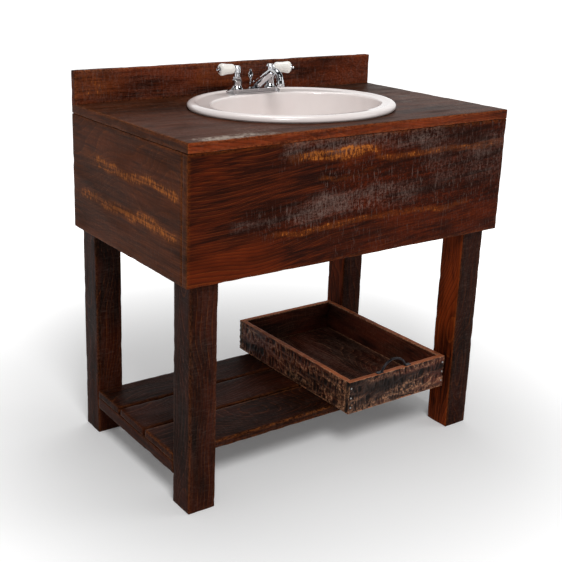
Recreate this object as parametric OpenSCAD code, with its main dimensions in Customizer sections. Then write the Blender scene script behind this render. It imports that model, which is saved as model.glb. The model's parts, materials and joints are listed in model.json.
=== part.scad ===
// Drop-in oval sink on a rustic wooden vanity, with an open slatted shelf and a pull-out tray.
// Millimetres, +Z up, the front faces -Y. Origin: floor level, centre of the counter's footprint.

/* [Cabinet] */
// Width of the counter
body_w = 914; // [820:1:1200]
// Depth from the front board to the wall
body_d = 542; // [520:1:680]
// Height of the counter surface above the floor
top_z = 850; // [760:1:950]
// Thickness of the counter board
top_t = 23; // [18:1:40]
// Height of the apron boards below the counter board
apron_h = 282; // [240:1:330]
// Thickness of the apron boards
apron_t = 22; // [16:1:30]
// Height of the backsplash above the counter
splash_h = 80; // [50:1:150]
// Thickness of the backsplash
splash_t = 22; // [16:1:27]
// Height of the rail between the back legs
back_rail_h = 70; // [50:1:110]
// Side of the square cleats that hold the counter down
cleat_w = 22; // [18:1:30]

/* [Legs and shelf] */
// Side of the square legs
leg_w = 70; // [55:1:90]
// Height of the shelf surface above the floor
shelf_z = 120; // [90:1:250]
// Thickness of the shelf slats
slat_t = 20; // [15:1:30]
// Width of the front slat
front_slat_w = 134; // [90:1:140]
// Width of the middle slat
middle_slat_w = 118; // [90:1:140]
// Gap between two slats
slat_gap = 8; // [3:1:15]
// Width of the rails under the slats
shelf_rail_w = 38; // [30:1:50]
// Height of the rails under the slats
shelf_rail_h = 30; // [25:1:60]

/* [Sink] */
// Length of the sink over its rim
sink_l = 532; // [480:1:560]
// Width of the sink over its rim, front to back
sink_w = 452; // [420:1:465]
// Height of the faucet deck above the counter
deck_h = 12; // [9:1:18]
// Height of the rolled rim above the faucet deck
rim_rise = 3.5; // [1:0.5:6]
// Width of the rolled rim
rim_w = 27; // [20:1:32]
// Length of the bowl at its edge
bowl_l = 446; // [380:1:460]
// Width of the bowl at its edge, front to back
bowl_w = 326; // [280:1:335]
// Distance of the bowl's centre in front of the rim's centre
bowl_shift = 19; // [15:1:24]
// Depth of the bowl below the deck
bowl_depth = 150; // [120:1:170]
// Thickness of the china
china_t = 10; // [8:0.5:13]
// Rounding of the bowl's edge
lip_r = 6; // [3:1:9]
// Thickness of the sealant bead under the rim
seal_t = 1.5; // [1:0.5:3]
// Distance of the drain behind the rim's centre
drain_y = 15; // [0:1:25]

/* [Drain] */
// Outer diameter of the tailpiece
tail_od = 31.75; // [28:0.25:38]
// Wall of the tailpiece
tail_wall = 1; // [0.8:0.1:2]
// Length of the tailpiece below the drain body
tail_l = 124; // [60:1:160]
// Outer diameter of the threaded drain body
drain_od = 42; // [40:0.5:44]
// Diameter of the waterway past the stopper
drain_bore = 33.6; // [30:0.2:34]
// Diameter of the drain flange
flange_d = 57; // [52:1:66]
// Thickness of the drain flange
flange_t = 2.5; // [2:0.5:4]
// Height of the drain body below the bowl
drain_l = 97; // [85:1:120]
// Diameter of the stopper
stopper_d = 40; // [38:1:46]
// Travel of the lift rod
lift_travel = 32; // [20:1:36]
// Diameter of the lift rod and of the pivot rod
rod_d = 5; // [4:0.5:6]

/* [Faucet] */
// Distance between the two handles
faucet_centres = 102; // [98:1:110]
// Distance of the faucet behind the rim's centre
faucet_y = 168; // [164:1:170]
// Width of the faucet's foot, front to back
foot_w = 48; // [44:1:50]
// Length of the faucet's foot
foot_l = 158; // [150:1:170]
// Height of the lever axis above the deck
lever_h = 62; // [56:1:75]
// Reach of the spout in front of the faucet's centre
spout_reach = 115; // [100:1:130]
// Height of the spout's outlet centre above the deck
outlet_h = 37; // [32:1:48]
// Length of a porcelain lever
lever_l = 43; // [35:1:60]
// Largest diameter of a porcelain lever
lever_d = 30; // [24:1:32]
// Turn of the cold lever from straight sideways towards the front
cold_turn = 37; // [0:1:80]
// Diameter of the supply shanks
shank_d = 20.8; // [19:0.1:21]

/* [Tray] */
// Width of the tray
tray_w = 324; // [250:1:335]
// Depth of the tray
tray_d = 482; // [380:1:490]
// Height of the tray
tray_h = 86; // [60:1:150]
// Thickness of the tray's boards
tray_t = 15; // [10:1:20]
// Thickness of the tray's bottom
tray_bottom_t = 9; // [6:1:12]
// Distance from the tray's right side to the right legs
tray_side_gap = 14; // [3:1:60]
// Distance from the tray's front to the counter's front
tray_setback = 33; // [10:1:50]
// Distance between the feet of the tray's handle
handle_l = 86; // [70:1:110]
// Height of the handle's arch
handle_h = 31; // [25:1:33]
// Diameter of the handle's bar
handle_d = 6; // [5:0.5:8]

/* [Fits] */
// Radial running clearance of the handle spindles
run_clear = 0.05; // [0.01:0.01:0.1]
// Gap between pieces that move past each other
move_gap = 0.3; // [0.3:0.1:1]
// Gap between the sink's bowl hole and the drain body
hole_clear = 1.5; // [1:0.5:3]

/* [Hidden] */
$fn = 64;
eps = 1;

// Cabinet
hw = body_w / 2;
hd = body_d / 2;
under_top = top_z - top_t;
apron_z = under_top - apron_h;
in_x = hw - apron_t;
in_y = -hd + apron_t;
leg_in_x = in_x - leg_w;
front_leg_y = in_y;
front_leg_back = in_y + leg_w;
back_leg_y = hd - leg_w;
splash_z = top_z + splash_h;

// Shelf
slat_z = shelf_z - slat_t;
rail_z = slat_z - shelf_rail_h;
back_slat_w = back_leg_y - front_leg_back - front_slat_w - middle_slat_w - 2 * slat_gap;
slat_starts = [
    front_leg_back,
    front_leg_back + front_slat_w + slat_gap,
    back_leg_y - back_slat_w
];
slat_widths = [front_slat_w, middle_slat_w, back_slat_w];

// Wood screws
screw_r = 2;
screw_head_r = 4.5;
screw_head_h = 3;
leg_screw_l = leg_w + 0.6 * apron_t;
shelf_screw_l = shelf_rail_h + 0.6 * slat_t;
top_screw_l = cleat_w + 0.6 * top_t;
slat_screw_edge = 28;
leg_screw_zs = [apron_z + 60, under_top - 60];
front_screw_zs = [apron_z + 95, under_top - 95];

// Sink: each ring is [half length, half width, centre y, z]
seg = 56;
sa = sink_l / 2;
sb = sink_w / 2;
deck_z = top_z + deck_h;
crown_z = deck_z + rim_rise;
rim_base_z = top_z + seal_t;
edge_h = 3;
crown_in = 0.55 * rim_w;
ba = bowl_l / 2;
bb = bowl_w / 2;
bowl_z = deck_z - bowl_depth;
wall_power = 0.62;
floor_power = 1.05;
hole_r = drain_od / 2 + hole_clear;
bowl_steps = [0:9:90];
bowl_steps_back = [90:-9:0];

function ring(in, z) = [sa - in, sb - in, 0, z];
function bowl_ring(t, grow, top, bottom) = [
    hole_r + (ba + grow - hole_r) * pow(cos(t), wall_power),
    hole_r + (bb + grow - hole_r) * pow(cos(t), wall_power),
    -bowl_shift + (drain_y + bowl_shift) * pow(sin(t), 2),
    top - (top - bottom) * pow(sin(t), floor_power)
];
inner_bowl = [for (t = bowl_steps_back) bowl_ring(t, 0, deck_z - lip_r, bowl_z)];
lip = [for (t = [65, 35, 0])
    [ba + lip_r * (1 - sin(t)), bb + lip_r * (1 - sin(t)), -bowl_shift, deck_z - lip_r * (1 - cos(t))]];
roll_in = [for (u = [1, 0.67, 0.34])
    ring(crown_in + (rim_w - crown_in) * u, deck_z + rim_rise * (1 + cos(180 * u)) / 2)];
roll_out = [for (t = [90:-22.5:0])
    ring(crown_in * (1 - cos(t)), rim_base_z + edge_h + (crown_z - rim_base_z - edge_h) * sin(t) ^ 0.8)];
outer_bowl = [for (t = bowl_steps) bowl_ring(t, china_t, rim_base_z, bowl_z - china_t)];
sink_rings = concat(inner_bowl, lip, roll_in, roll_out, [ring(1.5, rim_base_z)], outer_bowl);

function ring_points(r) = [for (i = [0:seg - 1])
    [r[0] * cos(i * 360 / seg), r[2] + r[1] * sin(i * 360 / seg), r[3]]];
function ellipse_points(a, b, n) = [for (i = [0:n - 1]) [a * cos(i * 360 / n), b * sin(i * 360 / n)]];

// Sealant and the hole in the counter
seal_in = 3;
seal_w = 8;
cutout_in = 14;

// Drain and pop-up
drain_r = drain_od / 2;
bore_r = drain_bore / 2;
neck_r = (drain_r + bore_r) / 2;
putty_t = 0.3;
flange_z = bowl_z + putty_t;
flange_top = flange_z + flange_t;
flange_neck_l = 24;
gasket_h = 8;
gasket_r = drain_r + 9;
nut_h = 11;
nut_af = drain_od + 20;
drain_bottom = bowl_z - china_t - drain_l;
socket_l = 14;
tail_r = tail_od / 2;
socket_r = tail_r - 0.4;
tail_bottom = drain_bottom - tail_l;
rod_r = rod_d / 2;
ball_r = 6.4;
ball_y = drain_y + drain_r + 5;
ball_z = drain_bottom + 38;
boss_r = 11;
boss_end = ball_y + 5;
pivot_nut_af = 27;
pivot_nut_wall = 6;
pivot_nut_grip = 7;
lift_y = faucet_y + 14;
strap_y = lift_y - 6;
strap_w = 14;
strap_t = 1.5;
arm_out = strap_y - ball_y;
arm_in = ball_y - drain_y;
tilt = atan(lift_travel / 2 / arm_out);
stopper_travel = 2 * arm_in * tan(tilt);
arm_tip = 6;
rod_tail = 18;
slack = 1;
strap_pin_z = ball_z - arm_out * tan(tilt);
strap_hole_step = 14;
strap_top = strap_pin_z + 96;
clamp_h = 14;
clamp_w = 12;
knob_h = 24;
knob_r = 7;
knob_z = deck_z + 33;
eye_z = ball_z + arm_in * tan(tilt);
eye_r = 7;
eye_t = 4;
head_z = flange_top + move_gap + stopper_travel;
head_h = 4;
fin_l = 24;
fin_t = 2;

// Faucet
foot_h = 4;
waist_h = 3;
plate_h = 5;
body_top = deck_z + foot_h + waist_h + plate_h;
waist_in = 3;
plate_in = 4.5;
foot_x = foot_l / 2 - foot_w / 2;
hub_x = faucet_centres / 2;
lever_z = deck_z + lever_h;
tower_r = 12;
tower_top = deck_z + lever_h - 26;
valve_r = 8.5;
hub_z = lever_z - 11;
hub_top = lever_z + 8;
hub_r = 9.5;
valve_top = hub_z - move_gap;
stem_r = 3.5;
stem_l = 34;
stem_grip = 9;
lever_pin_r = 2.4;
lever_start = hub_r + 0.5;
lever_end = lever_start + lever_l;
cap_l = 3;
shank_r = shank_d / 2;
shank_neck_r = shank_r - 0.2;
shank_top = deck_z + foot_h + waist_h;
shank_free = 30;
lock_nut_h = 9;
shank_shoulder = rim_base_z - lock_nut_h;
shank_bottom = shank_shoulder - shank_free;
shank_bore = 6;
lift_hole_r = rod_r + 0.5;
deck_hole_r = 15;
middle_hole_r = 18;

// Spout centre line: a straight rise, then a round bend down to the outlet
bend_r = 26;
rise = 32;
bend_y = faucet_y - spout_reach + bend_r;
bend_z = deck_z + outlet_h;
start_y = faucet_y - 2;
bend_start = [bend_y + bend_r * cos(90 - rise), bend_z + bend_r * sin(90 - rise)];
start_z = bend_start[1] - (start_y - bend_start[0]) * tan(rise);
spout_root_r = 12;
spout_tip_r = 9;
spout_seg = 20;
straight_n = 5;
bend_n = 9;
straight_part = [for (i = [0:straight_n]) let (u = i / straight_n)
    [start_y + (bend_start[0] - start_y) * u, start_z + (bend_start[1] - start_z) * u, rise]];
bend_part = [for (i = [1:bend_n]) let (a = rise - (90 + rise) * i / bend_n)
    [bend_y + bend_r * sin(a), bend_z + bend_r * cos(a), a]];
spout_line = concat(straight_part, bend_part);
spout_last = straight_n + bend_n;
aerator_h = 9;
aerator_r = 10.5;

// Tray
tray_x2 = leg_in_x - tray_side_gap;
tray_x1 = tray_x2 - tray_w;
tray_y1 = -hd + tray_setback;
tray_y2 = tray_y1 + tray_d;
tray_z = shelf_z + move_gap;
tray_top = tray_z + tray_h;
tray_xc = (tray_x1 + tray_x2) / 2;
handle_shift = -12;
handle_x = tray_xc + handle_shift;
handle_y = tray_y1 + tray_t / 2;
foot_plate_t = 2;
arch_r = (pow(handle_l / 2, 2) + pow(handle_h, 2)) / (2 * handle_h);
nail_r = 1.2;
nail_head_r = 2.4;
nail_head_h = 1;
nail_l = tray_t + 18;
nail_zs = [for (i = [0:2]) tray_z + tray_h * (0.2 + 0.3 * i)];

// ---- shared shapes ----

module board(x1, x2, y1, y2, z1, z2) {
    translate([x1, y1, z1]) cube([x2 - x1, y2 - y1, z2 - z1]);
}

module wood_screw(l) {
    cylinder(h = screw_head_h, r1 = screw_head_r, r2 = screw_r);
    cylinder(h = l, r = screw_r);
}

module tube(r, bore, h) {
    difference() {
        cylinder(h = h, r = r);
        translate([0, 0, -eps]) cylinder(h = h + 2 * eps, r = bore);
    }
}

module hexagon(af, h) {
    cylinder(h = h, r = af / sqrt(3), $fn = 6);
}

module both_sides() {
    children();
    mirror([1, 0, 0]) children();
}

// ---- screw groups, used as solids and as the holes they sit in ----

module side_leg_screws(y) {
    for (z = leg_screw_zs)
        both_sides() translate([leg_in_x, y, z]) rotate([0, 90, 0]) wood_screw(leg_screw_l);
}

module front_leg_screws() {
    for (z = front_screw_zs)
        both_sides() translate([leg_in_x + leg_w / 2, front_leg_back, z])
            rotate([90, 0, 0]) wood_screw(leg_screw_l);
}

module all_leg_screws() {
    side_leg_screws(front_leg_y + leg_w / 2);
    side_leg_screws(back_leg_y + leg_w / 2);
    front_leg_screws();
}

module all_shelf_screws() {
    for (i = [0:2])
        for (y = [slat_starts[i] + slat_screw_edge, slat_starts[i] + slat_widths[i] - slat_screw_edge])
            both_sides() translate([in_x - shelf_rail_w / 2, y, rail_z]) wood_screw(shelf_screw_l);
}

module all_top_screws() {
    for (u = [0.1, 0.5, 0.9])
        both_sides()
            translate([in_x - cleat_w / 2,
                front_leg_back + (back_leg_y - front_leg_back) * u, under_top - cleat_w])
                wood_screw(top_screw_l);
}

module tray_nail(x, y, z, turn) {
    translate([x, y, z]) rotate([turn, 0, 0]) {
        cylinder(h = nail_head_h, r = nail_head_r);
        cylinder(h = nail_l, r = nail_r);
    }
}

module all_tray_nails() {
    for (z = nail_zs, x = [tray_x1 + tray_t / 2, tray_x2 - tray_t / 2]) {
        tray_nail(x, tray_y1, z, -90);
        tray_nail(x, tray_y2, z, 90);
    }
}

module all_handle_screws() {
    for (s = [-1, 1])
        translate([handle_x + s * (handle_l / 2 + handle_d + 2.5), handle_y, tray_top + foot_plate_t])
            mirror([0, 0, 1]) {
                cylinder(h = foot_plate_t / 2, r1 = 2.6, r2 = 1.5);
                cylinder(h = 20, r = 1.5);
            }
}

// ---- cabinet ----

module counter_top() color("#5a2616") difference() {
    board(-hw, hw, -hd, hd, under_top, top_z);
    translate([0, 0, under_top - eps]) linear_extrude(top_t + 2 * eps)
        polygon(ellipse_points(sa - cutout_in, sb - cutout_in, 72));
    all_top_screws();
}

module backsplash() color("#4a1d12") board(-hw, hw, hd - splash_t, hd, top_z, splash_z);

module front_apron() color("#4a1f12") difference() {
    board(-hw, hw, -hd, in_y, apron_z, under_top);
    front_leg_screws();
}

module side_apron() {
    difference() {
        board(in_x, hw, in_y, hd, apron_z, under_top);
        all_leg_screws();
    }
}

module left_apron() color("#33190f") mirror([1, 0, 0]) side_apron();

module right_apron() color("#33190f") side_apron();

module back_rail() color("#3a1b10")
    board(-leg_in_x, leg_in_x, hd - apron_t, hd, under_top - back_rail_h, under_top);

module leg(y) {
    difference() {
        board(leg_in_x, in_x, y, y + leg_w, 0, under_top);
        all_leg_screws();
    }
}

module front_right_leg() color("#3c1a0f") leg(front_leg_y);

module front_left_leg() color("#3c1a0f") mirror([1, 0, 0]) leg(front_leg_y);

module back_right_leg() color("#3c1a0f") leg(back_leg_y);

module back_left_leg() color("#3c1a0f") mirror([1, 0, 0]) leg(back_leg_y);

module shelf_rail() {
    difference() {
        board(in_x - shelf_rail_w, in_x, front_leg_back, back_leg_y, rail_z, slat_z);
        all_shelf_screws();
    }
}

module right_shelf_rail() color("#2e150c") shelf_rail();

module left_shelf_rail() color("#2e150c") mirror([1, 0, 0]) shelf_rail();

module slat(i) color("#2a130b") difference() {
    board(-in_x, in_x, slat_starts[i], slat_starts[i] + slat_widths[i], slat_z, shelf_z);
    all_shelf_screws();
}

module front_slat() slat(0);

module middle_slat() slat(1);

module back_slat() slat(2);

module top_cleats() color("#54301c") difference() {
    both_sides() board(in_x - cleat_w, in_x, front_leg_back, back_leg_y, under_top - cleat_w, under_top);
    all_top_screws();
}

module top_screws() color("#8d8c88") all_top_screws();

module leg_screws() color("#8d8c88") all_leg_screws();

module shelf_screws() color("#8d8c88") all_shelf_screws();

// ---- sink ----

module sink_shell() {
    n = len(sink_rings);
    polyhedron(
        points = [for (r = sink_rings) each ring_points(r)],
        faces = [for (k = [0:n - 1], i = [0:seg - 1]) let (j = (i + 1) % seg, m = (k + 1) % n)
            [k * seg + i, m * seg + i, m * seg + j, k * seg + j]]
    );
}

module sink_basin() color("#f3ece6") difference() {
    sink_shell();
    translate([0, faucet_y, rim_base_z - eps]) {
        both_sides() translate([hub_x, 0, 0]) cylinder(h = deck_h + 2 * eps, r = deck_hole_r);
        cylinder(h = deck_h + 2 * eps, r = middle_hole_r);
    }
}

module sealant_bead() color("#e8e4dc") translate([0, 0, top_z]) linear_extrude(seal_t) difference() {
    polygon(ellipse_points(sa - seal_in, sb - seal_in, seg));
    polygon(ellipse_points(sa - seal_in - seal_w, sb - seal_in - seal_w, seg));
}

// ---- drain and pop-up ----

module drain_flange() color("#c9ccd0") translate([0, drain_y, 0]) difference() {
    union() {
        translate([0, 0, flange_z]) cylinder(h = flange_t, r1 = flange_d / 2, r2 = flange_d / 2 - 1.5);
        translate([0, 0, flange_z - flange_neck_l]) cylinder(h = flange_neck_l + eps, r = neck_r);
    }
    translate([0, 0, flange_z - flange_neck_l - eps]) cylinder(h = flange_neck_l + 3 * eps + flange_t, r = bore_r);
}

module drain_gasket() color("#1c1c1c") translate([0, drain_y, bowl_z - china_t - gasket_h]) difference() {
    cylinder(h = gasket_h, r1 = gasket_r - 3, r2 = gasket_r);
    translate([0, 0, -eps]) cylinder(h = gasket_h + 2 * eps, r = drain_r);
}

module drain_nut() color("#b08d57") translate([0, drain_y, bowl_z - china_t - gasket_h - nut_h]) difference() {
    hexagon(nut_af, nut_h);
    translate([0, 0, -eps]) cylinder(h = nut_h + 2 * eps, r = drain_r);
}

module drain_body() color("#b9bcc0") difference() {
    union() {
        translate([0, drain_y, drain_bottom]) cylinder(h = flange_z - drain_bottom, r = drain_r);
        translate([0, drain_y + bore_r, ball_z]) rotate([-90, 0, 0])
            cylinder(h = boss_end - drain_y - bore_r, r = boss_r);
    }
    translate([0, drain_y, drain_bottom - eps]) cylinder(h = socket_l + 2 * eps, r = socket_r);
    translate([0, drain_y, drain_bottom + socket_l])
        cylinder(h = flange_z - drain_bottom - socket_l + eps, r = bore_r);
    translate([0, drain_y, flange_z - flange_neck_l]) cylinder(h = flange_neck_l + eps, r = neck_r);
    translate([0, drain_y, ball_z]) rotate([-90, 0, 0])
        cylinder(h = boss_end - drain_y + eps, r = ball_r + move_gap);
}

module tailpiece() color("#c9ccd0") translate([0, drain_y, tail_bottom]) difference() {
    union() {
        cylinder(h = tail_l, r = tail_r);
        cylinder(h = tail_l + socket_l, r = socket_r);
    }
    translate([0, 0, -eps]) cylinder(h = tail_l + socket_l + 2 * eps, r = tail_r - tail_wall);
}

module pivot_nut() color("#c9ccd0") translate([0, boss_end - pivot_nut_grip, ball_z]) rotate([-90, 0, 0]) {
    difference() {
        hexagon(pivot_nut_af, pivot_nut_grip + pivot_nut_wall);
        translate([0, 0, -eps]) cylinder(h = pivot_nut_grip + eps, r = boss_r);
        cylinder(h = pivot_nut_grip + pivot_nut_wall + eps, r = rod_r + 2.6);
    }
}

module pivot_rod() color("#c9ccd0") translate([0, ball_y, ball_z]) {
    sphere(r = ball_r);
    rotate([-tilt - 90, 0, 0]) translate([0, 0, -(arm_in + arm_tip)])
        cylinder(h = arm_in + arm_tip + arm_out + rod_tail, r = rod_r);
}

module popup_stopper() color("#c9ccd0") translate([0, drain_y, 0]) {
    translate([0, 0, head_z]) rotate_extrude() polygon([
        [0, 0], [stopper_d / 2 - 1, 0], [stopper_d / 2, 1], [stopper_d / 2 - 1, 2.2],
        [stopper_d / 4, head_h - 0.5], [0, head_h]
    ]);
    translate([0, 0, eye_z + eye_r - 1]) cylinder(h = head_z - eye_z - eye_r + 2, r = 3.5);
    for (turn = [45, 135])
        translate([0, 0, head_z - fin_l / 2 + 0.5]) rotate([0, 0, turn])
            cube([2 * bore_r - 4 * move_gap, fin_t, fin_l], center = true);
    translate([0, -eye_t / 2, eye_z]) rotate([-90, 0, 0]) tube(eye_r, rod_r + slack, eye_t);
}

module lift_rod() color("#c9ccd0") translate([0, lift_y, strap_top - clamp_h])
    cylinder(h = knob_z + 6 - strap_top + clamp_h, r = rod_r);

module lift_knob() color("#c9ccd0") translate([0, lift_y, knob_z]) difference() {
    rotate_extrude() polygon([
        [0, 0], [3.6, 0], [3.2, 2], [knob_r - 1, 6], [knob_r, 9], [knob_r - 0.6, 12],
        [3.4, 17.5], [2.2, 19.5], [2.8, 21], [2.4, 23], [0, knob_h]
    ]);
    translate([0, 0, -eps]) cylinder(h = 6 + eps, r = rod_r);
}

module clevis_strap() color("#c9ccd0") difference() {
    union() {
        translate([-strap_w / 2, strap_y - strap_t / 2, strap_pin_z - 12])
            cube([strap_w, strap_t, strap_top - strap_pin_z + 12]);
        translate([-clamp_w / 2, strap_y + strap_t / 2, strap_top - clamp_h])
            cube([clamp_w, lift_y - strap_y + 6, clamp_h]);
    }
    translate([0, lift_y, strap_top - clamp_h - eps]) cylinder(h = clamp_h + 2 * eps, r = rod_r);
    for (i = [0:4])
        translate([0, strap_y - strap_t / 2 - eps, strap_pin_z + i * strap_hole_step]) rotate([-90, 0, 0])
            cylinder(h = strap_t + 2 * eps, r = rod_r + slack);
    translate([0, lift_y, strap_top - clamp_h / 2]) rotate([-90, 0, 0]) cylinder(h = 20, r = 2);
}

module clevis_screw() color("#8d8c88") translate([0, lift_y + rod_r, strap_top - clamp_h / 2])
    rotate([-90, 0, 0]) difference() {
        union() {
            cylinder(h = 10, r = 2);
            translate([0, 0, 9]) cylinder(h = 4, r = 5);
        }
        translate([0, 0, 13]) cube([12, 1.2, 3], center = true);
    }

// ---- faucet ----

module foot_layer(z, h, in) {
    r = foot_w / 2 - in;
    translate([0, faucet_y, z]) {
        both_sides() translate([foot_x, 0, 0]) cylinder(h = h, r = r);
        translate([-foot_x, -r, 0]) cube([2 * foot_x, 2 * r, h]);
    }
}

module tower() {
    translate([hub_x, faucet_y, body_top - eps]) rotate_extrude() polygon([
        [0, 0], [tower_r + 4.5, 0], [tower_r + 4.5, eps], [tower_r + 2, eps + 3], [tower_r, eps + 8],
        [tower_r, tower_top - body_top - 1], [tower_r - 1.5, tower_top - body_top + eps],
        [0, tower_top - body_top + eps]
    ]);
}

module faucet_body() color("#c9ccd0") difference() {
    union() {
        foot_layer(deck_z, foot_h, 0);
        foot_layer(deck_z + foot_h, waist_h, waist_in);
        foot_layer(deck_z + foot_h + waist_h, plate_h, plate_in);
        both_sides() tower();
    }
    both_sides() translate([hub_x, faucet_y, 0]) {
        translate([0, 0, shank_top]) cylinder(h = tower_top - shank_top + eps, r = valve_r);
        translate([0, 0, deck_z - eps]) cylinder(h = shank_top - deck_z + eps, r = shank_neck_r);
    }
    translate([0, lift_y, deck_z - eps]) cylinder(h = body_top - deck_z + 2 * eps, r = lift_hole_r);
}

function spout_radius(k) = spout_root_r + (spout_tip_r - spout_root_r) * min(1, k / straight_n);

module spout() color("#c9ccd0") difference() {
    union() {
        intersection() {
            polyhedron(
                points = [for (k = [0:spout_last]) let (p = spout_line[k]) each
                    [for (i = [0:spout_seg - 1]) let (t = i * 360 / spout_seg, r = spout_radius(k))
                        [r * cos(t), p[0] + r * sin(t) * sin(p[2]), p[1] + r * sin(t) * cos(p[2])]]],
                faces = concat(
                    [[for (i = [0:spout_seg - 1]) i]],
                    [[for (i = [spout_seg - 1:-1:0]) spout_last * spout_seg + i]],
                    [for (k = [0:spout_last - 1], i = [0:spout_seg - 1]) let (j = (i + 1) % spout_seg)
                        [k * spout_seg + i, (k + 1) * spout_seg + i, (k + 1) * spout_seg + j, k * spout_seg + j]])
            );
            translate([-50, faucet_y - 200, body_top]) cube([100, 300, 200]);
        }
        translate([0, faucet_y - 1, body_top]) cylinder(h = 3, r1 = 15, r2 = 13.5);
    }
    translate([0, bend_y - bend_r, bend_z - eps]) cylinder(h = 12, r = spout_tip_r - 2);
    translate([0, lift_y, body_top - eps]) cylinder(h = 40, r = lift_hole_r);
}

module aerator() color("#c9ccd0") translate([0, bend_y - bend_r, bend_z - aerator_h]) difference() {
    union() {
        cylinder(h = 1.5, r1 = aerator_r - 1, r2 = aerator_r);
        translate([0, 0, 1.5]) cylinder(h = aerator_h - 1.5, r = aerator_r);
    }
    translate([0, 0, -eps]) cylinder(h = 3, r = aerator_r - 2.5);
}

module supply_shanks() color("#b08d57") both_sides() translate([hub_x, faucet_y, 0]) difference() {
    union() {
        translate([0, 0, shank_bottom]) cylinder(h = shank_free, r = shank_r);
        translate([0, 0, shank_bottom]) cylinder(h = shank_top - shank_bottom, r = shank_neck_r);
    }
    translate([0, 0, shank_bottom - eps]) cylinder(h = shank_top - shank_bottom + 2 * eps, r = shank_bore);
}

module shank_nuts() color("#b08d57") both_sides() translate([hub_x, faucet_y, shank_shoulder]) difference() {
    hexagon(26, lock_nut_h);
    translate([0, 0, -eps]) cylinder(h = lock_nut_h + 2 * eps, r = shank_neck_r);
}

// Handle pieces are drawn for a lever that points along +X, then turned about their hub
module hub_place(side, turn) {
    translate([side * hub_x, faucet_y, 0]) rotate([0, 0, turn]) children();
}

module valve() {
    translate([0, 0, shank_top]) difference() {
        union() {
            cylinder(h = valve_top - shank_top, r = valve_r);
            translate([0, 0, tower_top - shank_top]) hexagon(2 * valve_r + 2, 6);
        }
        translate([0, 0, valve_top - shank_top - stem_l])
            cylinder(h = stem_l + eps, r = stem_r + run_clear);
    }
}

module stem() {
    translate([0, 0, hub_z + stem_grip - stem_l]) cylinder(h = stem_l, r = stem_r);
}

module hub() {
    difference() {
        union() {
            translate([0, 0, hub_z]) rotate_extrude() polygon([
                [0, 0], [hub_r - 1, 0], [hub_r, 1.5], [hub_r, 13], [hub_r - 1.2, 16],
                [hub_r - 4, 18.4], [0, hub_top - hub_z]
            ]);
            translate([0, 0, lever_z]) rotate([0, 90, 0]) cylinder(h = lever_start, r = 6);
            translate([0, 0, lever_z]) rotate([0, 90, 0]) cylinder(h = lever_end - 1, r = lever_pin_r);
        }
        translate([0, 0, hub_z - eps]) cylinder(h = stem_grip + eps, r = stem_r);
    }
}

module lever() {
    translate([lever_start, 0, lever_z]) rotate([0, 90, 0]) difference() {
        rotate_extrude() polygon([
            [0, 0], [0.28 * lever_d, 0], [0.36 * lever_d, 0.05 * lever_l], [0.41 * lever_d, 0.14 * lever_l],
            [0.415 * lever_d, 0.3 * lever_l], [0.43 * lever_d, 0.5 * lever_l], [0.48 * lever_d, 0.7 * lever_l],
            [0.5 * lever_d, 0.82 * lever_l], [0.47 * lever_d, 0.91 * lever_l], [0.38 * lever_d, 0.97 * lever_l],
            [0.3 * lever_d, lever_l], [0, lever_l]
        ]);
        translate([0, 0, -eps]) cylinder(h = lever_l, r = lever_pin_r);
    }
}

module lever_cap() {
    translate([lever_end, 0, lever_z]) rotate([0, 90, 0]) rotate_extrude() polygon([
        [0, 0], [0.26 * lever_d, 0], [0.26 * lever_d, 1], [0.2 * lever_d, cap_l - 0.5], [2, cap_l],
        [1.8, cap_l + 1], [3, cap_l + 2.4], [3, cap_l + 3.8], [1.8, cap_l + 5], [0, cap_l + 5.4]
    ]);
}

module hot_valve() color("#c9ccd0") hub_place(-1, 180) valve();

module cold_valve() color("#c9ccd0") hub_place(1, 0) valve();

module hot_stem() color("#b08d57") hub_place(-1, 180) stem();

module cold_stem() color("#b08d57") hub_place(1, 0) stem();

module hot_hub() color("#c9ccd0") hub_place(-1, 180) hub();

module cold_hub() color("#c9ccd0") hub_place(1, -cold_turn) hub();

module hot_lever() color("#f7f4ef") hub_place(-1, 180) lever();

module cold_lever() color("#f7f4ef") hub_place(1, -cold_turn) lever();

module hot_lever_cap() color("#c9ccd0") hub_place(-1, 180) lever_cap();

module cold_lever_cap() color("#c9ccd0") hub_place(1, -cold_turn) lever_cap();

// ---- tray ----

module tray_front() color("#4a2a17") difference() {
    board(tray_x1, tray_x2, tray_y1, tray_y1 + tray_t, tray_z, tray_top);
    all_tray_nails();
    all_handle_screws();
}

module tray_back() color("#4a2a17") difference() {
    board(tray_x1, tray_x2, tray_y2 - tray_t, tray_y2, tray_z, tray_top);
    all_tray_nails();
}

module tray_side(x) color("#3f2213") difference() {
    board(x, x + tray_t, tray_y1 + tray_t, tray_y2 - tray_t, tray_z, tray_top);
    all_tray_nails();
}

module tray_left() tray_side(tray_x1);

module tray_right() tray_side(tray_x2 - tray_t);

module tray_bottom() color("#3a2012")
    board(tray_x1 + tray_t, tray_x2 - tray_t, tray_y1 + tray_t, tray_y2 - tray_t,
        tray_z, tray_z + tray_bottom_t);

module tray_handle() color("#20242b") translate([handle_x, handle_y, tray_top]) {
    difference() {
        both_sides() translate([handle_l / 2 - handle_d, -5, 0])
            cube([2 * handle_d + 7, 10, foot_plate_t]);
        translate([-handle_x, -handle_y, -tray_top]) all_handle_screws();
    }
    intersection() {
        translate([0, 0, handle_h - arch_r]) rotate([90, 0, 0])
            rotate_extrude() translate([arch_r - handle_d / 2, 0]) circle(r = handle_d / 2);
        translate([-handle_l, -handle_d, foot_plate_t / 2]) cube([2 * handle_l, 2 * handle_d, handle_h]);
    }
}

module tray_handle_screws() color("#20242b") all_handle_screws();

module tray_nails() color("#8d8c88") all_tray_nails();

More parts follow.
